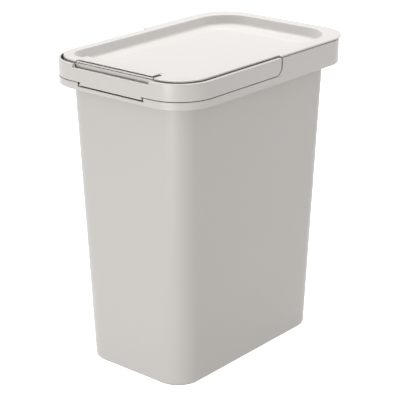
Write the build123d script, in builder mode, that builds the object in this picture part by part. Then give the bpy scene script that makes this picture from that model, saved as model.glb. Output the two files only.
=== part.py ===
from build123d import *
import os

# A lidded recycling bin: a tapered bucket, a collar seated on the bucket's rim, a carry
# handle folded round the front of the collar, and a tray-topped lid hinged at the rear.
# The origin is the middle of the base. X runs across, the front faces -Y and Z is up.

# Bucket
bin_height = 393.0
base_width = 169.4
base_length = 284.8
base_corner = 34.0
rim_width = 193.8
rim_length = 305.2
rim_corner = 29.5
body_forward = 1.3
body_wall = 2.2
floor_thickness = 2.6
base_edge_radius = 4.0
inner_base_radius = 6.0
stand_ring_width = 12.0
stand_ring_height = 1.4
flange_reach = 7.0
flange_thickness = 2.0
flange_lip = 5.0

# Collar, with its overhangs measured from the bucket's rim
side_overhang = 20.45
end_overhang = 19.9
collar_corner = 51.0
collar_wall = 2.2
skirt_drop = 14.0
deck_drop = 4.4
deck_thickness = 2.0
collar_rise = 17.6
box_width = 8.7
shoulder_from_front = 188.9
ledge_thickness = 2.0
ledge_overlap = 4.5
skirt_edge_radius = 0.8
skirt_foot_radius = 0.4
collar_top_radius = 0.5
shoulder_corner = 13.0
notch_width = 108.8
notch_depth = 4.8
notch_reach = 5.5
notch_edge_radius = 0.8

# Carry handle
handle_thickness = 4.3
handle_corner_thinning = 3.0
handle_side_gap = 2.05
handle_front_gap = 3.85
handle_lift = 0.8
handle_height = 21.2
handle_edge_radius = 0.5
handle_top_radius = 1.2
arm_end_gap = 2.8
arm_corner = 11.5
scoop_width = 126.0
scoop_depth = 5.0
scoop_corner = 1.6
grip_width = 101.0
grip_band_drop = 0.9
grip_lip_height = 4.0
grip_lip_inset = 0.8
grip_lip_thickness = 3.0
pivot_from_end = 11.8
pivot_below_top = 7.5
pivot_radius = 4.0
pivot_bead_radius = 4.6
pivot_bead_length = 0.8
pivot_shoulder_radius = 6.5
pivot_side_gap = 0.3

# Lid
lid_seat_gap = 0.85
lid_edge_thickness = 2.0
lid_edge_radius = 0.9
lid_rear_reach = 5.4
lid_rear_side_inset = 1.0
lid_rear_corner = 50.0
lid_step_from_front = 188.0
lid_step_radius = 1.2
lid_front_corner = 42.0
tray_rim_side = 20.25
tray_rim_rear = 18.5
tray_rim_front = 16.3
tray_front_corner = 22.0
tray_rear_corner = 46.0
tray_wall = 2.0
tray_depth = 13.6
tray_draft = 4.5
tray_fillet = 6.0
tray_lip_radius = 1.0
tray_floor_side = 14.5
tray_floor_rear = 25.0
tray_floor_front = 18.0
tray_floor_corner = 26.0
tray_floor_step = 1.5
tray_floor_radius = 1.0

# Tab let into the lid's front rim
tab_width = 124.6
tab_depth = 17.3
tab_raise = 2.45
tab_thickness = 1.0
tab_slit = 2.2
tab_slit_length = 14.3
tab_edge_radius = 0.4
tab_plug_width = 104.0
tab_plug_front = 9.1
tab_plug_depth = 3.0
tab_plug_drop = 4.0
tab_fit = 0.2
tab_clip_reach = 1.5
tab_clip_height = 1.2
tab_clip_width = 16.0
tab_clip_spacing = 36.0

# Lid hinge, outside the collar's rear wall and under the lid's rear edge
hinge_pin_radius = 1.25
hinge_barrel_radius = 2.7
hinge_clearance = 0.3
hinge_spacing = 116.0
knuckle_width = 18.0
lug_width = 8.0
lug_gusset = 7.0
lug_toe = 2.5
pin_end_inset = 0.3

# Fits, and how far a cut runs past the face that it starts from
running_fit = 0.05
overshoot = 1.0

# Heights worked out from the bucket's rim
skirt_bottom = bin_height - skirt_drop
deck_top = bin_height - deck_drop
deck_underside = deck_top - deck_thickness
collar_top = bin_height + collar_rise
ledge_top = bin_height + ledge_thickness
top_deck_underside = collar_top - collar_wall
handle_bottom = deck_top + handle_lift
handle_top = handle_bottom + handle_height
lid_underside = collar_top + lid_seat_gap
lid_top = lid_underside + lid_edge_thickness
tray_ledge = lid_top - tray_depth
tray_floor = tray_ledge - tray_floor_step

# Plan sizes worked out from the bucket's rim
collar_width = rim_width + 2 * side_overhang
collar_length = rim_length + 2 * end_overhang
collar_middle = -lid_rear_reach / 2
collar_front = collar_middle - collar_length / 2
collar_rear = collar_middle + collar_length / 2
body_middle = collar_middle - body_forward
body_rear = body_middle + rim_length / 2
upstand_side_inset = handle_thickness + handle_side_gap
upstand_front_inset = handle_thickness + handle_front_gap
opening_inset = upstand_front_inset + box_width
shoulder_y = collar_front + shoulder_from_front
arm_end_y = shoulder_y - arm_end_gap
pivot_y = arm_end_y - pivot_from_end
pivot_z = handle_top - pivot_below_top
hinge_y = collar_rear + hinge_clearance + hinge_barrel_radius
hinge_z = lid_underside - hinge_clearance - hinge_barrel_radius
lug_end = knuckle_width / 2 + hinge_clearance + lug_width
far = 2 * collar_length


def outline(width, front, rear, front_corner, rear_corner):
    """A rectangle across X, from front to rear along Y, with rounded corners."""
    with BuildSketch() as shape:
        with Locations((0, (front + rear) / 2)):
            Rectangle(width, rear - front)
        fillet(shape.vertices().group_by(Axis.Y)[0], front_corner)
        fillet(shape.vertices().group_by(Axis.Y)[-1], rear_corner)
    return shape.sketch


def body_outline(height, inset):
    """The bucket's outer outline at a height, moved inwards by an inset."""
    share = height / bin_height
    width = base_width + (rim_width - base_width) * share - 2 * inset
    reach = (base_length + (rim_length - base_length) * share) / 2 - inset
    corner = base_corner + (rim_corner - base_corner) * share - inset
    return outline(width, body_middle - reach, body_middle + reach, corner, corner)


def collar_outline(inset):
    """The collar's outer outline, moved inwards by an inset."""
    corner = collar_corner - inset
    return outline(collar_width - 2 * inset, collar_front + inset, collar_rear - inset, corner, corner)


def handle_inside():
    """The inside of the handle's band, whose sharper corners leave the wall thinner there."""
    corner = collar_corner - handle_thickness - handle_corner_thinning
    width = collar_width - 2 * handle_thickness
    return outline(width, collar_front + handle_thickness, collar_rear, corner, corner)


def upstand_outline(inset):
    """The collar's outline between the handle's arms, which the lid's front half follows."""
    half = collar_width / 2 - upstand_side_inset - inset
    front = collar_front + upstand_front_inset + inset
    corner = lid_front_corner - inset
    return outline(2 * half, front, collar_rear - upstand_side_inset - inset, corner, corner)


def opening_outline(grow):
    """The collar's opening, which the lid's tray sinks into, grown outwards."""
    half = collar_width / 2 - opening_inset + grow
    front = collar_front + opening_inset - grow
    rear = collar_rear - collar_wall + grow
    corner = collar_corner - opening_inset + grow
    return outline(2 * half, front, rear, corner, collar_corner - collar_wall + grow)


tray_half_width = collar_width / 2 - tray_rim_side
tray_front = collar_front + upstand_front_inset + tray_rim_front
tray_rear = collar_rear + lid_rear_reach - tray_rim_rear


def tray_outline(inset):
    """The edge of the lid's tray at the top of its rim, moved inwards by an inset."""
    width = 2 * (tray_half_width - inset)
    front_corner = tray_front_corner - inset / 2
    return outline(width, tray_front + inset, tray_rear - inset, front_corner, tray_rear_corner - inset)


def tray_floor_outline(grow):
    """The sunken middle of the tray's floor, grown outwards."""
    width = 2 * (tray_half_width - tray_floor_side + grow)
    front = tray_front + tray_floor_front - grow
    rear = tray_rear - tray_floor_rear + grow
    corner = tray_floor_corner + grow
    return outline(width, front, rear, corner - (tray_rear_corner - tray_front_corner) / 2, corner)


def slab(shape, bottom, top, mode=Mode.ADD):
    """Extrude a flat shape from one height to another."""
    with BuildSketch(Plane.XY.offset(bottom)) as layer:
        add(shape)
    extrude(layer.sketch, amount=top - bottom, mode=mode)


def taper(low_shape, low, high_shape, high, mode=Mode.ADD):
    """A straight-sided solid between two outlines at two heights."""
    with BuildSketch(Plane.XY.offset(low)) as lower:
        add(low_shape)
    with BuildSketch(Plane.XY.offset(high)) as upper:
        add(high_shape)
    loft([lower.sketch, upper.sketch], ruled=True, mode=mode)


def behind(y):
    """A flat shape that covers everything behind a line across the bin."""
    with BuildSketch() as shape:
        with Locations((0, y + far / 2)):
            Rectangle(far, far)
    return shape.sketch


def bar_along_x(radius, y, z, start, end, mode=Mode.ADD):
    """A round bar along X, centred on a point in the side view."""
    with BuildSketch(Plane.YZ.offset(start)) as section:
        with Locations((y, z)):
            Circle(radius)
    extrude(section.sketch, amount=end - start, mode=mode)


# Bucket: tapered walls, a flanged rim with a turned-down lip, and a low ring to stand on.
with BuildPart() as bin_body:
    taper(body_outline(0, 0), 0, body_outline(bin_height, 0), bin_height)
    fillet(bin_body.faces().sort_by(Axis.Z)[0].edges(), base_edge_radius)
    rim_reach = body_outline(bin_height, -flange_reach)
    slab(rim_reach, bin_height - flange_lip, bin_height)
    with BuildSketch(Plane.XY.offset(bin_height - flange_lip)) as lip_hollow:
        add(body_outline(bin_height, flange_thickness - flange_reach))
        add(body_outline(bin_height, 0), mode=Mode.SUBTRACT)
    extrude(lip_hollow.sketch, amount=flange_lip - flange_thickness, mode=Mode.SUBTRACT)

with BuildPart() as bin_space:
    floor_top = stand_ring_height + floor_thickness
    taper(body_outline(floor_top, body_wall), floor_top, body_outline(bin_height, body_wall), bin_height)
    fillet(bin_space.faces().sort_by(Axis.Z)[0].edges(), inner_base_radius)

with bin_body:
    add(bin_space.part, mode=Mode.SUBTRACT)
    slab(body_outline(0, stand_ring_width), 0, stand_ring_height, Mode.SUBTRACT)
bin_body.part.label = "bin_body"

# Collar: skirt all round, a low deck for the handle in front, full height behind the shoulder.
with BuildPart() as collar:
    slab(collar_outline(0), skirt_bottom, deck_top)
    fillet(collar.faces().sort_by(Axis.Z)[0].edges(), skirt_foot_radius)
    fillet(collar.faces().sort_by(Axis.Z)[-1].edges(), skirt_edge_radius)

with BuildPart() as collar_rear_block:
    with BuildSketch(Plane.XY.offset(skirt_bottom + skirt_edge_radius)) as rear_plan:
        add(collar_outline(0))
        add(behind(shoulder_y), mode=Mode.INTERSECT)
    extrude(rear_plan.sketch, amount=collar_top - skirt_bottom - skirt_edge_radius)
    fillet(collar_rear_block.faces().sort_by(Axis.Z)[-1].edges(), collar_top_radius)

# The shoulder's rounded foot, which the heel of the handle's arm turns above.
with BuildPart() as shoulder_foot:
    with BuildSketch(Plane.YZ.offset(-collar_width / 2)) as foot_profile:
        with Locations((shoulder_y - shoulder_corner / 2, deck_top + shoulder_corner / 2)):
            Rectangle(shoulder_corner, shoulder_corner)
        with Locations((shoulder_y - shoulder_corner, deck_top + shoulder_corner)):
            Circle(shoulder_corner, mode=Mode.SUBTRACT)
    extrude(foot_profile.sketch, amount=collar_width)

with collar:
    add(collar_rear_block.part)
    add(shoulder_foot.part)
    slab(upstand_outline(0), deck_underside, collar_top)
    # Hollow under the skirt, then inside the walls, then between the walls and the opening.
    slab(collar_outline(collar_wall), skirt_bottom, deck_underside, Mode.SUBTRACT)
    with BuildSketch(Plane.XY.offset(deck_underside)) as inside_walls:
        add(collar_outline(collar_wall))
        add(behind(shoulder_y + collar_wall), mode=Mode.INTERSECT)
        add(upstand_outline(collar_wall))
    extrude(inside_walls.sketch, amount=bin_height - deck_underside, mode=Mode.SUBTRACT)
    with BuildSketch(Plane.XY.offset(bin_height)) as box_hollow:
        add(inside_walls.sketch.moved(Location((0, 0, -deck_underside))))
        add(opening_outline(collar_wall), mode=Mode.SUBTRACT)
    extrude(box_hollow.sketch, amount=top_deck_underside - bin_height, mode=Mode.SUBTRACT)
    slab(opening_outline(0), ledge_top, collar_top, Mode.SUBTRACT)
    with BuildSketch(Plane.XY.offset(bin_height)) as mouth:
        add(opening_outline(0))
        add(behind(body_rear + flange_reach - ledge_overlap), mode=Mode.SUBTRACT)
    extrude(mouth.sketch, amount=ledge_thickness, mode=Mode.SUBTRACT)
    # Notch in the skirt's top edge, under the middle of the handle.
    with BuildSketch(Plane.XY.offset(deck_top - notch_depth)) as notch:
        with Locations((0, collar_front + (notch_reach - overshoot) / 2)):
            Rectangle(notch_width, notch_reach + overshoot)
    extrude(notch.sketch, amount=notch_depth + overshoot, mode=Mode.SUBTRACT)
    front_edges = collar.edges().filter_by(Axis.X).group_by(Axis.Y)[0]
    fillet(front_edges.sort_by_distance((0, collar_front, deck_top - notch_depth))[0], notch_edge_radius)
    # Holes for the handle's pivots, right through both sides' outer walls.
    for side in (-1, 1):
        wall_face = side * (collar_width / 2 - upstand_side_inset)
        bar_along_x(pivot_radius + running_fit, pivot_y, pivot_z, wall_face + side * overshoot,
                    wall_face - side * (collar_wall + overshoot), Mode.SUBTRACT)
    # Hinge lugs on the rear wall, in two pairs.
    for station in (-hinge_spacing / 2, hinge_spacing / 2):
        for side in (-1, 1):
            lug_middle = station + side * (lug_end - lug_width / 2)
            with BuildSketch(Plane.YZ.offset(lug_middle)) as lug:
                with Locations((hinge_y, hinge_z)):
                    Circle(hinge_barrel_radius)
                with BuildLine():
                    Polyline(
                        (hinge_y, hinge_z + hinge_barrel_radius),
                        (collar_rear - collar_wall / 2, hinge_z + hinge_barrel_radius),
                        (collar_rear - collar_wall / 2, hinge_z - lug_gusset),
                        (hinge_y + lug_toe, hinge_z - lug_toe),
                        (hinge_y + lug_toe, hinge_z),
                        close=True,
                    )
                make_face()
            extrude(lug.sketch, amount=lug_width / 2, both=True)
        bar_along_x(hinge_pin_radius, hinge_y, hinge_z,
                    station - lug_end - overshoot, station + lug_end + overshoot, Mode.SUBTRACT)
collar.part.label = "collar"

# Carry handle: a band round the front, with a finger scoop, a grip lip and two pivots.
with BuildPart() as carry_handle:
    slab(collar_outline(0), handle_bottom, handle_top)
    fillet(carry_handle.faces().sort_by(Axis.Z)[0].edges(), handle_edge_radius)
    fillet(carry_handle.faces().sort_by(Axis.Z)[-1].edges(), handle_top_radius)
    slab(handle_inside(), handle_bottom, handle_top, Mode.SUBTRACT)
    slab(behind(arm_end_y), handle_bottom, handle_top, Mode.SUBTRACT)
    with BuildSketch(Plane.YZ.offset(-collar_width)) as arm_heel:
        with Locations((arm_end_y - arm_corner / 2, handle_bottom + arm_corner / 2)):
            Rectangle(arm_corner, arm_corner)
        with Locations((arm_end_y - arm_corner, handle_bottom + arm_corner)):
            Circle(arm_corner, mode=Mode.SUBTRACT)
    extrude(arm_heel.sketch, amount=2 * collar_width, mode=Mode.SUBTRACT)
    with BuildSketch(Plane.XZ.offset(-collar_front - 2 * handle_thickness)) as scoop:
        with Locations((0, handle_top)):
            Rectangle(scoop_width, 2 * scoop_depth)
        fillet(scoop.vertices().group_by(Axis.Z)[0], scoop_corner)
    extrude(scoop.sketch, amount=4 * handle_thickness, mode=Mode.SUBTRACT)
    grip_band_bottom = handle_bottom - grip_band_drop
    with BuildSketch(Plane.XY.offset(grip_band_bottom)) as grip_band:
        with Locations((0, collar_front + handle_thickness / 2)):
            Rectangle(grip_width, handle_thickness)
    extrude(grip_band.sketch, amount=grip_band_drop + handle_edge_radius)
    with BuildSketch(Plane.XY.offset(handle_bottom - grip_lip_height)) as grip_lip:
        with Locations((0, collar_front + grip_lip_inset + grip_lip_thickness / 2)):
            Rectangle(grip_width, grip_lip_thickness)
    extrude(grip_lip.sketch, amount=grip_lip_height - grip_band_drop)
    for side in (-1, 1):
        arm_face = side * (collar_width / 2 - handle_thickness)
        wall_face = side * (collar_width / 2 - upstand_side_inset)
        shoulder_face = wall_face + side * pivot_side_gap
        bead_face = wall_face - side * (collar_wall + pivot_side_gap)
        bar_along_x(pivot_shoulder_radius, pivot_y, pivot_z, arm_face + side * overshoot, shoulder_face)
        bar_along_x(pivot_radius, pivot_y, pivot_z, arm_face, bead_face)
        bar_along_x(pivot_bead_radius, pivot_y, pivot_z, bead_face, bead_face - side * pivot_bead_length)
carry_handle.part.label = "carry_handle"

# Lid: a rim plate that is narrower between the handle's arms, with a tray sunk in it.
with BuildPart() as tray_space:
    taper(tray_outline(tray_draft), tray_ledge, tray_outline(0), lid_top)
    fillet(tray_space.faces().sort_by(Axis.Z)[0].edges(), tray_fillet)

with BuildPart() as floor_space:
    slab(tray_floor_outline(0), tray_floor, tray_ledge)
    fillet(floor_space.faces().sort_by(Axis.Z)[0].edges(), tray_floor_radius)

with BuildPart() as lid:
    with BuildSketch(Plane.XY.offset(lid_underside)) as lid_plan:
        add(outline(
            collar_width - 2 * lid_rear_side_inset, collar_front, collar_rear + lid_rear_reach,
            lid_rear_corner, lid_rear_corner,
        ))
        add(behind(collar_front + lid_step_from_front), mode=Mode.INTERSECT)
        fillet(lid_plan.vertices().group_by(Axis.Y)[0], lid_step_radius)
        add(upstand_outline(0))
    extrude(lid_plan.sketch, amount=lid_edge_thickness)
    fillet(lid.faces().sort_by(Axis.Z)[-1].edges(), lid_edge_radius)
    taper(tray_outline(tray_draft - tray_wall), tray_ledge - tray_wall,
          tray_outline(-tray_wall), lid_underside)
    slab(tray_floor_outline(tray_wall), tray_floor - tray_wall, tray_ledge - tray_wall)
    add(tray_space.part, mode=Mode.SUBTRACT)
    add(floor_space.part, mode=Mode.SUBTRACT)
    fillet(lid.faces().sort_by(Axis.Z)[-1].inner_wires()[0].edges(), tray_lip_radius)
    # Pocket for the tab's plug, and a slit from the front edge at each end of the tab.
    tab_front = collar_front + upstand_front_inset
    plug_middle = tab_front + tab_plug_front + tab_plug_depth / 2
    with BuildSketch(Plane.XY.offset(lid_underside)) as pocket:
        with Locations((0, plug_middle)):
            Rectangle(tab_plug_width + 2 * tab_fit, tab_plug_depth + 2 * tab_fit)
        for side in (-1, 1):
            with Locations((side * (tab_width + tab_slit) / 2, tab_front + tab_slit_length / 2)):
                Rectangle(tab_slit, tab_slit_length)
    extrude(pocket.sketch, amount=lid_edge_thickness, mode=Mode.SUBTRACT)
    # Hinge knuckles under the rear edge.
    for station in (-hinge_spacing / 2, hinge_spacing / 2):
        with BuildSketch(Plane.YZ.offset(station)) as knuckle:
            with Locations((hinge_y, hinge_z)):
                Circle(hinge_barrel_radius)
            with Locations((hinge_y, (hinge_z + lid_underside + lid_edge_thickness / 2) / 2)):
                Rectangle(2 * hinge_barrel_radius, lid_underside + lid_edge_thickness / 2 - hinge_z)
        extrude(knuckle.sketch, amount=knuckle_width / 2, both=True)
        bar_along_x(hinge_pin_radius + running_fit, hinge_y, hinge_z,
                    station - knuckle_width, station + knuckle_width, Mode.SUBTRACT)
lid.part.label = "lid"

# Tab: a raised plate, a plug through the lid's pocket and clips under the rim.
with BuildPart() as lid_tab:
    tab_top = lid_top + tab_raise
    with BuildSketch(Plane.XY.offset(tab_top - tab_thickness)) as plate:
        with Locations((0, tab_front + tab_depth / 2)):
            Rectangle(tab_width, tab_depth)
    extrude(plate.sketch, amount=tab_thickness)
    fillet(lid_tab.faces().sort_by(Axis.Z)[-1].edges(), tab_edge_radius)
    plug_bottom = lid_underside - tab_plug_drop
    with BuildSketch(Plane.XY.offset(plug_bottom)) as plug:
        with Locations((0, plug_middle)):
            Rectangle(tab_plug_width, tab_plug_depth)
    extrude(plug.sketch, amount=tab_top - tab_thickness - plug_bottom)
    clip_top = lid_underside - tab_fit
    with BuildSketch(Plane.XY.offset(clip_top - tab_clip_height)) as clips:
        for clip_x in (-tab_clip_spacing, 0, tab_clip_spacing):
            with Locations((clip_x, plug_middle + tab_clip_reach / 2)):
                Rectangle(tab_clip_width, tab_plug_depth + tab_clip_reach)
    extrude(clips.sketch, amount=tab_clip_height)
lid_tab.part.label = "lid_tab"

# Hinge pins, pressed into the collar's lugs and running in the lid's knuckles.
pin_half_length = lug_end - pin_end_inset
with BuildPart() as lid_hinge_pin_left:
    bar_along_x(hinge_pin_radius, hinge_y, hinge_z,
                -hinge_spacing / 2 - pin_half_length, -hinge_spacing / 2 + pin_half_length)
lid_hinge_pin_left.part.label = "lid_hinge_pin_left"

with BuildPart() as lid_hinge_pin_right:
    bar_along_x(hinge_pin_radius, hinge_y, hinge_z,
                hinge_spacing / 2 - pin_half_length, hinge_spacing / 2 + pin_half_length)
lid_hinge_pin_right.part.label = "lid_hinge_pin_right"

os.makedirs("parts", exist_ok=True)
for piece in (bin_body, collar, carry_handle, lid, lid_tab, lid_hinge_pin_left, lid_hinge_pin_right):
    export_step(piece.part, f"parts/{piece.part.label}.step")
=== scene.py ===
"""Dresses a lidded recycling bin: its mouldings, hinge pins, light, floor and camera."""

import math

import bpy
from mathutils import Matrix, Vector


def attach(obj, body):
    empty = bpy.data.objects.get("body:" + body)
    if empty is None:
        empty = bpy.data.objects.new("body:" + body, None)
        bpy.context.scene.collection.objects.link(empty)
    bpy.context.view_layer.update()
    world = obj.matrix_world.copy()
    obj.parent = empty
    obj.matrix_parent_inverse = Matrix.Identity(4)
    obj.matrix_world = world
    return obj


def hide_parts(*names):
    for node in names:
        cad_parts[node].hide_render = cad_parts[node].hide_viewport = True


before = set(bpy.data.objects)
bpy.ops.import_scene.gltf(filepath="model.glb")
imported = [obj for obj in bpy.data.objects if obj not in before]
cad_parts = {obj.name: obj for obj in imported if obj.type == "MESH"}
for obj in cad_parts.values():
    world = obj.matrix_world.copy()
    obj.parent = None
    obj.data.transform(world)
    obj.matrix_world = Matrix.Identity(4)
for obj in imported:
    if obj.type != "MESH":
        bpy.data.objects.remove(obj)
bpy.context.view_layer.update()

bl_info = {
    "name": "Recycling Bin Dressing",
    "version": (1, 0, 0),
    "blender": (4, 5, 0),
    "location": "3D View > Sidebar > Recycling Bin",
    "description": "Finishes the mouldings, pins, floor, light and camera of a lidded recycling bin",
    "category": "Object",
}


# Fixed values of the finishes and of the painted shade

PLASTIC_IOR = 1.49
CLOUD_NOISE = {"Scale": 9.0, "Detail": 3.0}
HANDLING_NOISE = {"Scale": 40.0, "Detail": 5.0}
HANDLING_SPREAD = 0.04     # of roughness, to each side
SPARK_DETAIL = 2.0
SPARK_STRENGTH = 0.12
PAINTED_SHADE_SAMPLES = 8
PAINTED_SHADE_TONE = 0.05            # share of the colour kept under the deepest painted shade, in the narrowest gap
NOTCH_PAINTED_SHADE = 0.08          # share of the collar's colour kept in its notch as painted shade

STEEL_STRETCH = (20, 3000, 3000)
STEEL_LINES = {"Scale": 1.0, "Detail": 3.0}
STEEL_DARK = (0.42, 0.42, 0.43, 1)
STEEL_BRIGHT = (0.62, 0.62, 0.64, 1)
STEEL_ROUGHNESS = (0.22, 0.42)

DISH_SLACK = 0.0001        # metres under the sunken floor, so that the step's foot moves too
DISH_MARGIN = 1.02         # of the sunken floor's half size, so that the whole step moves


# Fixed values of the stage

FLOOR_WHITE = (0.9, 0.9, 0.9, 1)
FLOOR_GLOW_COLOUR = (1, 1, 1, 1)
FLOOR_ROUGHNESS = 0.9
FLOOR_DROP = 0.0002        # metres, so that the floor and the bin's foot don't share a plane
SKY_COLOUR = (1, 0.988, 0.97, 1)

LAMP_AIM = Vector((0, 0, 0.25))
LAMPS = (                  # name, place, side of the square, setting that holds its power
    ("overhead_softbox", (-0.5, 0.6, 2.3), 1.6, "overhead_power"),
    ("front_softbox", (0.5, -2.2, 0.22), 0.42, "front_power"),
    ("left_softbox", (-1.6, -2.2, 1.6), 1.2, "left_power"),
    ("rear_softbox", (0.8, 0.8, 0.3), 0.5, "rear_power"),
)

CAMERA_PLACE = (1.13888, -1.35290, 0.85015)
CAMERA_ANGLES = (40.263, 20.222, -0.159)     # degrees round from the front, up, and of roll
CAMERA_FRAME = 36          # millimetres


# Sizes and colours that a user may change


class BinPlasticSettings(bpy.types.PropertyGroup):
    bucket_colour: bpy.props.FloatVectorProperty(
        name="Bucket colour", description="Pigment of the bucket", subtype="COLOR",
        size=3, min=0, max=1, default=(0.60, 0.575, 0.55),
    )
    collar_colour: bpy.props.FloatVectorProperty(
        name="Collar colour", description="Pigment of the collar and the carry handle",
        subtype="COLOR", size=3, min=0, max=1, default=(0.66, 0.637, 0.612),
    )
    lid_colour: bpy.props.FloatVectorProperty(
        name="Lid colour", description="Pigment of the lid and its tab", subtype="COLOR",
        size=3, min=0, max=1, default=(0.726, 0.699, 0.68),
    )
    bucket_roughness: bpy.props.FloatProperty(
        name="Bucket roughness", description="Roughness of the bucket's fine spark finish",
        min=0, max=1, default=0.42,
    )
    trim_roughness: bpy.props.FloatProperty(
        name="Trim roughness", description="Roughness of the collar, handle and lid",
        min=0, max=1, default=0.38,
    )
    # Painted shade darkens the plastic's colour where other faces stand nearer than this.
    painted_shade_reach: bpy.props.FloatProperty(
        name="Gap reach",
        description="How near two faces stand where the gap between them goes dark",
        subtype="DISTANCE", min=0.001, max=0.1, default=0.012,
    )
    # The faces inside the box between these two corners get painted shade.
    notch_low: bpy.props.FloatVectorProperty(
        name="Notch low corner", description="Low corner of the notch under the handle's grip",
        subtype="TRANSLATION", size=3, default=(-0.0546, -0.1745, 0.3837), precision=4,
    )
    notch_high: bpy.props.FloatVectorProperty(
        name="Notch high corner", description="High corner of the notch under the handle's grip",
        subtype="TRANSLATION", size=3, default=(0.0546, -0.1696, 0.3887), precision=4,
    )
    # Corners of a dark sheet that stands for painted shade under the notch; it is no part of the
    # bin.
    shade_sheet_low: bpy.props.FloatVectorProperty(
        name="Web low corner",
        description="Low corner of the dark web that closes the notch from below",
        subtype="TRANSLATION", size=3, default=(-0.0543, -0.1731, 0.3829), precision=4,
    )
    shade_sheet_high: bpy.props.FloatVectorProperty(
        name="Web high corner",
        description="High corner of the dark web that closes the notch from below",
        subtype="TRANSLATION", size=3, default=(0.0543, -0.1680, 0.3835), precision=4,
    )
    grain_size: bpy.props.FloatProperty(
        name="Grain size", description="Width of one grain of the spark finish",
        subtype="DISTANCE", min=0.0001, max=0.01, default=0.0009,
    )


class SurfaceSettings(bpy.types.PropertyGroup):
    weld_gap: bpy.props.FloatProperty(
        name="Weld gap", description="Mesh points nearer than this are made one",
        subtype="DISTANCE", min=0, max=0.001, default=0.000005, precision=6,
    )
    crease_angle: bpy.props.FloatProperty(
        name="Crease angle", description="Edges that turn more than this stay sharp",
        subtype="ANGLE", min=0, max=math.pi, default=math.radians(32),
    )
    dish_floor: bpy.props.FloatProperty(
        name="Dish floor", description="Height of the sunken middle of the tray's floor",
        subtype="DISTANCE", min=0, max=1, default=0.39835, precision=5,
    )
    dish_ledge: bpy.props.FloatProperty(
        name="Dish ledge", description="Height of the tray's floor round its sunken middle",
        subtype="DISTANCE", min=0, max=1, default=0.39985, precision=5,
    )
    dish_middle: bpy.props.FloatVectorProperty(
        name="Dish middle", description="Middle of the tray's sunken floor",
        subtype="TRANSLATION", size=3, default=(0, -0.0005, 0.399), precision=4,
    )
    dish_half_size: bpy.props.FloatVectorProperty(
        name="Dish half size", description="Half the sunken floor's width and length",
        subtype="TRANSLATION", size=3, default=(0.0826, 0.1322, 1), precision=4,
    )
    dish_ease: bpy.props.FloatProperty(
        name="Dish ease", description="How far the foot of the step moves in",
        subtype="DISTANCE", min=0, max=0.02, default=0.004,
    )


class StudioSettings(bpy.types.PropertyGroup):
    floor_size: bpy.props.FloatProperty(
        name="Floor size", description="Side of the square floor", subtype="DISTANCE",
        min=1, max=60, default=30,
    )
    floor_glow: bpy.props.FloatProperty(
        name="Floor glow", description="Light that comes up through the white floor",
        min=0, max=5, default=1.05,
    )
    lens: bpy.props.FloatProperty(
        name="Lens", description="Focal length in millimetres on a frame 36 mm wide",
        min=10, max=400, default=126.877,
    )
    sky_strength: bpy.props.FloatProperty(
        name="Sky strength", description="Strength of the even light all round",
        min=0, max=10, default=0.475,
    )
    overhead_power: bpy.props.FloatProperty(
        name="Overhead power", description="Power of the wide light above and behind",
        subtype="POWER", min=0, max=2000, default=42.5,
    )
    front_power: bpy.props.FloatProperty(
        name="Front power", description="Power of the light in front",
        subtype="POWER", min=0, max=2000, default=18.4,
    )
    left_power: bpy.props.FloatProperty(
        name="Left power", description="Power of the light high at the front left",
        subtype="POWER", min=0, max=2000, default=4.0,
    )
    rear_power: bpy.props.FloatProperty(
        name="Rear power", description="Power of the near light behind at the right",
        subtype="POWER", min=0, max=2000, default=0.85,
    )


def hang_on(piece, body, slot, *nodes):
    """Put a finished piece on its body in place of the solids that it stands for."""
    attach(piece, body)
    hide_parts(*nodes)


def new_node(tree, kind, place, inputs=None, **settings):
    """Add a node at its place in the editor, with its settings and its inputs' values."""
    node = tree.nodes.new(kind)
    node.location = place
    for name, value in settings.items():
        setattr(node, name, value)
    for name, value in (inputs or {}).items():
        node.inputs[name].default_value = value
    return node


# Materials


def new_material(name, values):
    """A material with nodes, and its shader with the values of its plain inputs."""
    material = bpy.data.materials.new(name)
    material.use_nodes = True
    shader = material.node_tree.nodes["Principled BSDF"]
    for socket, value in values.items():
        shader.inputs[socket].default_value = value
    return material, shader


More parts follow.
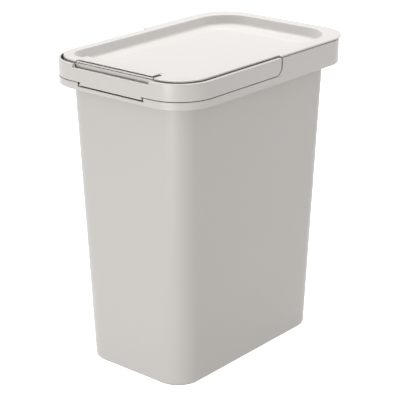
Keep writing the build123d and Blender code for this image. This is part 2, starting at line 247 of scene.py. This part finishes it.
def moulded_plastic(name, colour, roughness, grain_depth, cloud, painted_shade_onset):
    """Satin moulded polypropylene: spark grain, clouded pigment, handling marks, and painted shade
    that darkens the colour in gaps and crevices.
    """
    look = bpy.context.scene.bin_plastic
    material, shader = new_material(name, {"IOR": PLASTIC_IOR})
    tree = material.node_tree
    join = tree.links.new
    place = new_node(tree, "ShaderNodeTexCoord", (-1100, 0)).outputs["Object"]

    deeper = (*[c * (1 - cloud) for c in colour], 1)
    paler = (*[min(1, c * (1 + cloud)) for c in colour], 1)
    pigment = new_node(tree, "ShaderNodeTexNoise", (-800, 200), CLOUD_NOISE)
    shade = new_node(tree, "ShaderNodeMix", (-450, 200), {"A": deeper, "B": paler},
                     data_type="RGBA")
    join(place, pigment.inputs["Vector"])
    join(pigment.outputs["Fac"], shade.inputs["Factor"])

    # Painted shade: ambient occlusion darkens the colour in gaps, seams and the tray's corners, down
    # to a small share of it.
    openness = new_node(tree, "ShaderNodeAmbientOcclusion", (-800, 480),
                        {"Distance": look.painted_shade_reach}, samples=PAINTED_SHADE_SAMPLES)
    depth = new_node(tree, "ShaderNodeMapRange", (-450, 480),
                     {"From Max": painted_shade_onset, "To Min": PAINTED_SHADE_TONE},
                     interpolation_type="SMOOTHSTEP")
    dark = new_node(tree, "ShaderNodeVectorMath", (-200, 300), operation="SCALE")
    join(openness.outputs["AO"], depth.inputs["Value"])
    join(shade.outputs["Result"], dark.inputs[0])
    join(depth.outputs["Result"], dark.inputs["Scale"])
    join(dark.outputs["Vector"], shader.inputs["Base Color"])

    wear = new_node(tree, "ShaderNodeTexNoise", (-800, -80), HANDLING_NOISE)
    polish = new_node(tree, "ShaderNodeMapRange", (-450, -80), {
        "To Min": roughness - HANDLING_SPREAD, "To Max": roughness + HANDLING_SPREAD})
    join(place, wear.inputs["Vector"])
    join(wear.outputs["Fac"], polish.inputs["Value"])
    join(polish.outputs["Result"], shader.inputs["Roughness"])

    spark = new_node(tree, "ShaderNodeTexNoise", (-800, -360),
                     {"Scale": 1 / look.grain_size, "Detail": SPARK_DETAIL})
    bump = new_node(tree, "ShaderNodeBump", (-300, -360),
                    {"Strength": SPARK_STRENGTH, "Distance": grain_depth})
    join(place, spark.inputs["Vector"])
    join(spark.outputs["Fac"], bump.inputs["Height"])
    join(bump.outputs["Normal"], shader.inputs["Normal"])
    return material


def drawn_steel(name):
    """Drawn steel wire with fine lines along the pin."""
    material, shader = new_material(name, {"Metallic": 1.0})
    tree = material.node_tree
    join = tree.links.new
    place = new_node(tree, "ShaderNodeTexCoord", (-1100, 0))
    stretch = new_node(tree, "ShaderNodeMapping", (-900, 0), {"Scale": STEEL_STRETCH})
    lines = new_node(tree, "ShaderNodeTexNoise", (-680, 0), STEEL_LINES)
    tone = new_node(tree, "ShaderNodeMix", (-400, 150), {"A": STEEL_DARK, "B": STEEL_BRIGHT},
                    data_type="RGBA")
    smoothest, roughest = STEEL_ROUGHNESS
    gloss = new_node(tree, "ShaderNodeMapRange", (-400, -120),
                     {"To Min": smoothest, "To Max": roughest})
    join(place.outputs["Object"], stretch.inputs["Vector"])
    join(stretch.outputs["Vector"], lines.inputs["Vector"])
    join(lines.outputs["Fac"], tone.inputs["Factor"])
    join(tone.outputs["Result"], shader.inputs["Base Color"])
    join(lines.outputs["Fac"], gloss.inputs["Value"])
    join(gloss.outputs["Result"], shader.inputs["Roughness"])
    return material


def glowing_floor(name, glow):
    """White that glows as if lit from below, so that it shows no shadow."""
    material, _ = new_material(name, {
        "Base Color": FLOOR_WHITE, "Roughness": FLOOR_ROUGHNESS,
        "Emission Color": FLOOR_GLOW_COLOUR, "Emission Strength": glow})
    return material


# Geometry Nodes


def new_tree(name, **sockets):
    """A tree with geometry in and out and the named inputs of the kinds given; its start."""
    tree = bpy.data.node_groups.new(name, "GeometryNodeTree")
    face = tree.interface
    face.new_socket("Geometry", in_out="INPUT", socket_type="NodeSocketGeometry")
    for label, kind in sockets.items():
        face.new_socket(label.replace("_", " "), in_out="INPUT", socket_type="NodeSocket" + kind)
    face.new_socket("Geometry", in_out="OUTPUT", socket_type="NodeSocketGeometry")
    return tree, new_node(tree, "NodeGroupInput", (-1300, 0))


def end_tree(tree, geometry, plastic, chosen=None):
    """End a tree in Realize Instances and Set Material, on the chosen faces or on all."""
    realize = new_node(tree, "GeometryNodeRealizeInstances", (450, 0))
    paint = new_node(tree, "GeometryNodeSetMaterial", (680, 0))
    end = new_node(tree, "NodeGroupOutput", (900, 0))
    join = tree.links.new
    join(geometry, realize.inputs["Geometry"])
    join(realize.outputs["Geometry"], paint.inputs["Geometry"])
    join(plastic, paint.inputs["Material"])
    if chosen is not None:
        join(chosen, paint.inputs["Selection"])
    join(paint.outputs["Geometry"], end.inputs["Geometry"])


def worked_out(tree, kind, operation, place, *values):
    """The result of a math node whose inputs are linked to sockets or set to numbers."""
    node = new_node(tree, kind, place, operation=operation)
    for number, value in enumerate(values):
        if isinstance(value, bpy.types.NodeSocket):
            tree.links.new(value, node.inputs[number])
        else:
            node.inputs[number].default_value = value
    return node.outputs[0]


def parts_of(tree, vector, place):
    """The X, Y and Z of a vector."""
    parts = new_node(tree, "ShaderNodeSeparateXYZ", place)
    tree.links.new(vector, parts.inputs["Vector"])
    return parts.outputs["X"], parts.outputs["Y"], parts.outputs["Z"]


def surface_tree():
    """A tree that welds a mesh, smooths all but its creases and gives it its plastic."""
    tree, start = new_tree("Moulded surface", Weld_gap="Float", Crease_angle="Float",
                           Plastic="Material")
    weld = new_node(tree, "GeometryNodeMergeByDistance", (-650, 0))
    angle = new_node(tree, "GeometryNodeInputMeshEdgeAngle", (-650, -250))
    sharper = new_node(tree, "FunctionNodeCompare", (-420, -250), data_type="FLOAT",
                       operation="GREATER_THAN")
    smooth = new_node(tree, "GeometryNodeSetShadeSmooth", (-200, 0), domain="FACE")
    crease = new_node(tree, "GeometryNodeSetShadeSmooth", (50, 0), {"Shade Smooth": False},
                      domain="EDGE")
    join = tree.links.new
    join(start.outputs["Geometry"], weld.inputs["Geometry"])
    join(start.outputs["Weld gap"], weld.inputs["Distance"])
    join(weld.outputs["Geometry"], smooth.inputs["Geometry"])
    join(angle.outputs["Unsigned Angle"], sharper.inputs["A"])
    join(start.outputs["Crease angle"], sharper.inputs["B"])
    join(sharper.outputs["Result"], crease.inputs["Selection"])
    join(smooth.outputs["Geometry"], crease.inputs["Geometry"])
    end_tree(tree, crease.outputs["Geometry"], start.outputs["Plastic"])
    return tree


def dish_tree():
    """A tree that lets the step round the tray's sunken floor down in a gentle slope."""
    tree, start = new_tree("Gentle dish", Floor_height="Float", Ledge_height="Float",
                           Middle="Vector", Half_size="Vector", Pull="Vector",
                           Plastic="Material")
    join = tree.links.new
    point = new_node(tree, "GeometryNodeInputPosition", (-1300, -300)).outputs["Position"]
    floor, ledge = start.outputs["Floor height"], start.outputs["Ledge height"]
    _, _, height = parts_of(tree, point, (-1050, 200))

    depth = new_node(tree, "ShaderNodeMapRange", (-800, 350), {"To Min": 1.0, "To Max": 0.0})
    join(height, depth.inputs["Value"])
    join(floor, depth.inputs["From Min"])
    join(ledge, depth.inputs["From Max"])
    above = worked_out(tree, "ShaderNodeMath", "GREATER_THAN", (-800, 60), height, floor)

    from_middle = worked_out(tree, "ShaderNodeVectorMath", "SUBTRACT", (-1050, -250),
                             point, start.outputs["Middle"])
    share = worked_out(tree, "ShaderNodeVectorMath", "DIVIDE", (-850, -250),
                       from_middle, start.outputs["Half size"])
    size = worked_out(tree, "ShaderNodeVectorMath", "ABSOLUTE", (-650, -400), share)
    across, along, _ = parts_of(tree, size, (-450, -400))
    wider = worked_out(tree, "ShaderNodeMath", "MAXIMUM", (-250, -400), across, along)
    within = worked_out(tree, "ShaderNodeMath", "LESS_THAN", (-50, -400), wider, DISH_MARGIN)
    chosen = worked_out(tree, "ShaderNodeMath", "MULTIPLY", (150, -100), above, within)

    pulled = worked_out(tree, "ShaderNodeVectorMath", "MULTIPLY", (-450, -150),
                        share, start.outputs["Pull"])
    offset = new_node(tree, "ShaderNodeVectorMath", (-200, 100), operation="SCALE")
    join(pulled, offset.inputs[0])
    join(depth.outputs["Result"], offset.inputs["Scale"])
    move = new_node(tree, "GeometryNodeSetPosition", (220, 0))
    join(start.outputs["Geometry"], move.inputs["Geometry"])
    join(chosen, move.inputs["Selection"])
    join(offset.outputs["Vector"], move.inputs["Offset"])
    end_tree(tree, move.outputs["Geometry"], start.outputs["Plastic"])
    return tree


def recess_tree():
    """A tree that gives the faces inside a box their own plastic; here a darkened copy that paints
    shade into the collar's notch.
    """
    tree, start = new_tree("Dark recess", Low_corner="Vector", High_corner="Vector",
                           Plastic="Material")
    point = new_node(tree, "GeometryNodeInputPosition", (-1100, -300)).outputs["Position"]
    nearest = []
    for row, (farther, nearer) in enumerate(((point, start.outputs["Low corner"]),
                                             (start.outputs["High corner"], point))):
        level = -200 * (row + 1)
        room = worked_out(tree, "ShaderNodeVectorMath", "SUBTRACT", (-850, level),
                          farther, nearer)
        across, along, up = parts_of(tree, room, (-650, level))
        flat = worked_out(tree, "ShaderNodeMath", "MINIMUM", (-450, level), across, along)
        nearest.append(worked_out(tree, "ShaderNodeMath", "MINIMUM", (-250, level), flat, up))
    both = worked_out(tree, "ShaderNodeMath", "MINIMUM", (-50, -300), *nearest)
    inside = worked_out(tree, "ShaderNodeMath", "GREATER_THAN", (150, -300), both, 0.0)
    end_tree(tree, start.outputs["Geometry"], start.outputs["Plastic"], inside)
    return tree


def add_tree(piece, label, tree, **inputs):
    """Add a tree to a piece and set its named inputs by their sockets' identifiers."""
    modifier = piece.modifiers.new(label, "NODES")
    modifier.node_group = tree
    found = {item.name: item.identifier for item in tree.interface.items_tree
             if item.item_type == "SOCKET" and item.in_out == "INPUT"}
    for name, value in inputs.items():
        modifier[found[name.replace("_", " ")]] = value


def bake(source, name):
    """The evaluated mesh of an object, as a plain object of its own."""
    bpy.context.view_layer.update()
    evaluated = source.evaluated_get(bpy.context.evaluated_depsgraph_get())
    mesh = bpy.data.meshes.new_from_object(evaluated)
    mesh.name = name
    piece = bpy.data.objects.new(name, mesh)
    bpy.context.scene.collection.objects.link(piece)
    bpy.data.objects.remove(source)
    return piece


def moulding(node, name, plastic, dish=None, recess=None):
    """A welded and smoothed copy of a solid, with its dish eased and painted shade in its recess."""
    surface = bpy.context.scene.bin_surface
    copy = bpy.data.objects.new(name + "_raw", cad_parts[node].data.copy())
    copy.data.materials.clear()
    bpy.context.scene.collection.objects.link(copy)
    if dish:
        add_tree(copy, "Dish", dish_tree(), Plastic=plastic, **dish)
    smoothing = bpy.data.node_groups.get("Moulded surface") or surface_tree()
    add_tree(copy, "Surface", smoothing, Weld_gap=surface.weld_gap,
             Crease_angle=surface.crease_angle, Plastic=plastic)
    if recess:
        add_tree(copy, "Recess", recess_tree(), **recess)
    return bake(copy, name)


def plate(name, low, high, plastic):
    """A flat plate between two opposite corners."""
    corners = [(x, y, z) for x in (low[0], high[0])
               for y in (low[1], high[1]) for z in (low[2], high[2])]
    sides = [(0, 1, 3, 2), (4, 6, 7, 5), (0, 4, 5, 1), (2, 3, 7, 6), (0, 2, 6, 4), (1, 5, 7, 3)]
    mesh = bpy.data.meshes.new(name)
    mesh.from_pydata(corners, [], sides)
    mesh.materials.append(plastic)
    piece = bpy.data.objects.new(name, mesh)
    bpy.context.scene.collection.objects.link(piece)
    return piece


# Stage


def lay_floor(studio):
    """A square floor that shows white and throws no light on the bin's matt faces."""
    bpy.ops.mesh.primitive_plane_add(size=studio.floor_size, location=(0, 0, -FLOOR_DROP))
    floor = bpy.context.object
    floor.name = "pale_floor"
    floor.data.materials.append(glowing_floor("Pale floor", studio.floor_glow))
    floor.visible_diffuse = False


def set_sky(scene, strength):
    """Even light all round."""
    sky = bpy.data.worlds.new("Even sky")
    sky.use_nodes = True
    background = sky.node_tree.nodes["Background"]
    background.inputs["Color"].default_value = SKY_COLOUR
    background.inputs["Strength"].default_value = strength
    scene.world = sky


def soft_lamp(scene, name, place, side, power):
    """A square softbox that faces the bin's middle."""
    lamp = bpy.data.lights.new(name, "AREA")
    lamp.shape = "SQUARE"
    lamp.size = side
    lamp.energy = power
    light = bpy.data.objects.new(name, lamp)
    light.location = place
    light.rotation_euler = (LAMP_AIM - Vector(place)).to_track_quat("-Z", "Y").to_euler()
    scene.collection.objects.link(light)


def photo_camera(scene, lens):
    """A camera that stands where the photograph was taken from."""
    azimuth, elevation, roll = (math.radians(angle) for angle in CAMERA_ANGLES)
    back = Vector((math.sin(azimuth) * math.cos(elevation),
                   -math.cos(azimuth) * math.cos(elevation),
                   math.sin(elevation)))
    right = Vector((math.cos(azimuth), math.sin(azimuth), 0))
    up = back.cross(right)
    turned_right = math.cos(roll) * right + math.sin(roll) * up
    turned_up = math.cos(roll) * up - math.sin(roll) * right
    turn = Matrix((turned_right, turned_up, back)).transposed().to_4x4()
    camera = bpy.data.objects.new("photo_camera", bpy.data.cameras.new("photo_camera"))
    camera.data.sensor_width = CAMERA_FRAME
    camera.data.lens = lens
    camera.matrix_world = Matrix.Translation(CAMERA_PLACE) @ turn
    scene.collection.objects.link(camera)
    scene.camera = camera


# Operators


class BIN_OT_bucket(bpy.types.Operator):
    """Finish the tapered bucket"""

    bl_idname = "bin.bucket"
    bl_label = "Bucket"

    def execute(self, context):
        look = context.scene.bin_plastic
        plastic = moulded_plastic("Bucket plastic", look.bucket_colour, look.bucket_roughness,
                                  grain_depth=0.0002, cloud=0.012, painted_shade_onset=0.55)
        piece = moulding("bin_body", "bucket_moulding", plastic)
        hang_on(piece, "bin", "bin_plastic", "bin_body")
        return {"FINISHED"}


class BIN_OT_collar(bpy.types.Operator):
    """Finish the collar round the bucket's rim and paint shade into its notch"""

    bl_idname = "bin.collar"
    bl_label = "Collar"

    def execute(self, context):
        look = context.scene.bin_plastic
        plastic = moulded_plastic("Collar plastic", look.collar_colour, look.trim_roughness,
                                  grain_depth=0.00015, cloud=0.01, painted_shade_onset=0.35)
        # Painted shade: the faces in the notch and the sheet under it get the collar's plastic
        # darkened to a small share of its colour.
        shaded = [NOTCH_PAINTED_SHADE * c for c in look.collar_colour]
        notch_shade_plastic = moulded_plastic("Collar plastic in the notch", shaded, look.trim_roughness,
                               grain_depth=0.00015, cloud=0.01, painted_shade_onset=0.5)
        piece = moulding("collar", "collar_moulding", plastic, recess=dict(
            Low_corner=look.notch_low, High_corner=look.notch_high, Plastic=notch_shade_plastic))
        hang_on(piece, "bin", "collar_plastic", "collar")
        # A dark sheet that closes the notch from below, as painted shade; the bin has no such part.
        web = plate("notch_web", look.shade_sheet_low, look.shade_sheet_high, notch_shade_plastic)
        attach(web, "bin")
        return {"FINISHED"}


class BIN_OT_handle(bpy.types.Operator):
    """Finish the carry handle folded round the collar"""

    bl_idname = "bin.handle"
    bl_label = "Carry handle"

    def execute(self, context):
        look = context.scene.bin_plastic
        plastic = moulded_plastic("Handle plastic", look.collar_colour, look.trim_roughness,
                                  grain_depth=0.00015, cloud=0.01, painted_shade_onset=0.6)
        piece = moulding("carry_handle", "handle_moulding", plastic)
        hang_on(piece, "handle", "collar_plastic", "carry_handle")
        return {"FINISHED"}


class BIN_OT_lid(bpy.types.Operator):
    """Finish the lid and its sunken tray"""

    bl_idname = "bin.lid"
    bl_label = "Lid"

    def execute(self, context):
        look = context.scene.bin_plastic
        plastic = moulded_plastic("Lid plastic", look.lid_colour, look.trim_roughness,
                                  grain_depth=0.00015, cloud=0.01, painted_shade_onset=0.35)
        surface = context.scene.bin_surface
        piece = moulding("lid", "lid_moulding", plastic, dish=dict(
            Floor_height=surface.dish_floor - DISH_SLACK, Ledge_height=surface.dish_ledge,
            Middle=surface.dish_middle, Half_size=surface.dish_half_size,
            Pull=(-surface.dish_ease, -surface.dish_ease, 0)))
        hang_on(piece, "lid", "lid_plastic", "lid")
        return {"FINISHED"}


class BIN_OT_tab(bpy.types.Operator):
    """Finish the tab let into the lid's front rim"""

    bl_idname = "bin.tab"
    bl_label = "Lid tab"

    def execute(self, context):
        look = context.scene.bin_plastic
        plastic = moulded_plastic("Tab plastic", look.lid_colour, look.trim_roughness,
                                  grain_depth=0.00012, cloud=0.008, painted_shade_onset=0.2)
        piece = moulding("lid_tab", "tab_moulding", plastic)
        hang_on(piece, "lid", "lid_plastic", "lid_tab")
        return {"FINISHED"}


class BIN_OT_pins(bpy.types.Operator):
    """Finish the lid's hinge pins"""

    bl_idname = "bin.pins"
    bl_label = "Hinge pins"

    def execute(self, context):
        steel = drawn_steel("Pin steel")
        for side in ("left", "right"):
            node = "lid_hinge_pin_" + side
            piece = moulding(node, "hinge_pin_" + side, steel)
            hang_on(piece, "bin", "pin_steel", node)
        return {"FINISHED"}


class BIN_OT_stage(bpy.types.Operator):
    """Lay the floor and set the lights and the camera"""

    bl_idname = "bin.stage"
    bl_label = "Floor, light and camera"

    def execute(self, context):
        scene = context.scene
        studio = scene.bin_studio
        lay_floor(studio)
        set_sky(scene, studio.sky_strength)
        scene.view_settings.view_transform = "Standard"
        for name, place, side, power in LAMPS:
            soft_lamp(scene, name, place, side, getattr(studio, power))
        photo_camera(scene, studio.lens)
        return {"FINISHED"}


class BIN_PT_panel(bpy.types.Panel):
    """Lists the steps that dress the bin"""

    bl_label = "Recycling Bin"
    bl_idname = "BIN_PT_panel"
    bl_space_type = "VIEW_3D"
    bl_region_type = "UI"
    bl_category = "Recycling Bin"

    def draw(self, context):
        for operator in OPERATORS:
            self.layout.operator(operator.bl_idname)


SETTINGS = (
    ("bin_plastic", BinPlasticSettings),
    ("bin_surface", SurfaceSettings),
    ("bin_studio", StudioSettings),
)
OPERATORS = (
    BIN_OT_bucket, BIN_OT_collar, BIN_OT_handle, BIN_OT_lid, BIN_OT_tab, BIN_OT_pins,
    BIN_OT_stage,
)


def register():
    for name, group in SETTINGS:
        bpy.utils.register_class(group)
        setattr(bpy.types.Scene, name, bpy.props.PointerProperty(type=group))
    for operator in (*OPERATORS, BIN_PT_panel):
        bpy.utils.register_class(operator)


def unregister():
    for operator in reversed((*OPERATORS, BIN_PT_panel)):
        bpy.utils.unregister_class(operator)
    for name, group in reversed(SETTINGS):
        delattr(bpy.types.Scene, name)
        bpy.utils.unregister_class(group)


def main():
    register()
    for step in (bpy.ops.bin.bucket, bpy.ops.bin.collar, bpy.ops.bin.handle, bpy.ops.bin.lid,
                 bpy.ops.bin.tab, bpy.ops.bin.pins, bpy.ops.bin.stage):
        step()


if __name__ == "__main__":
    main()
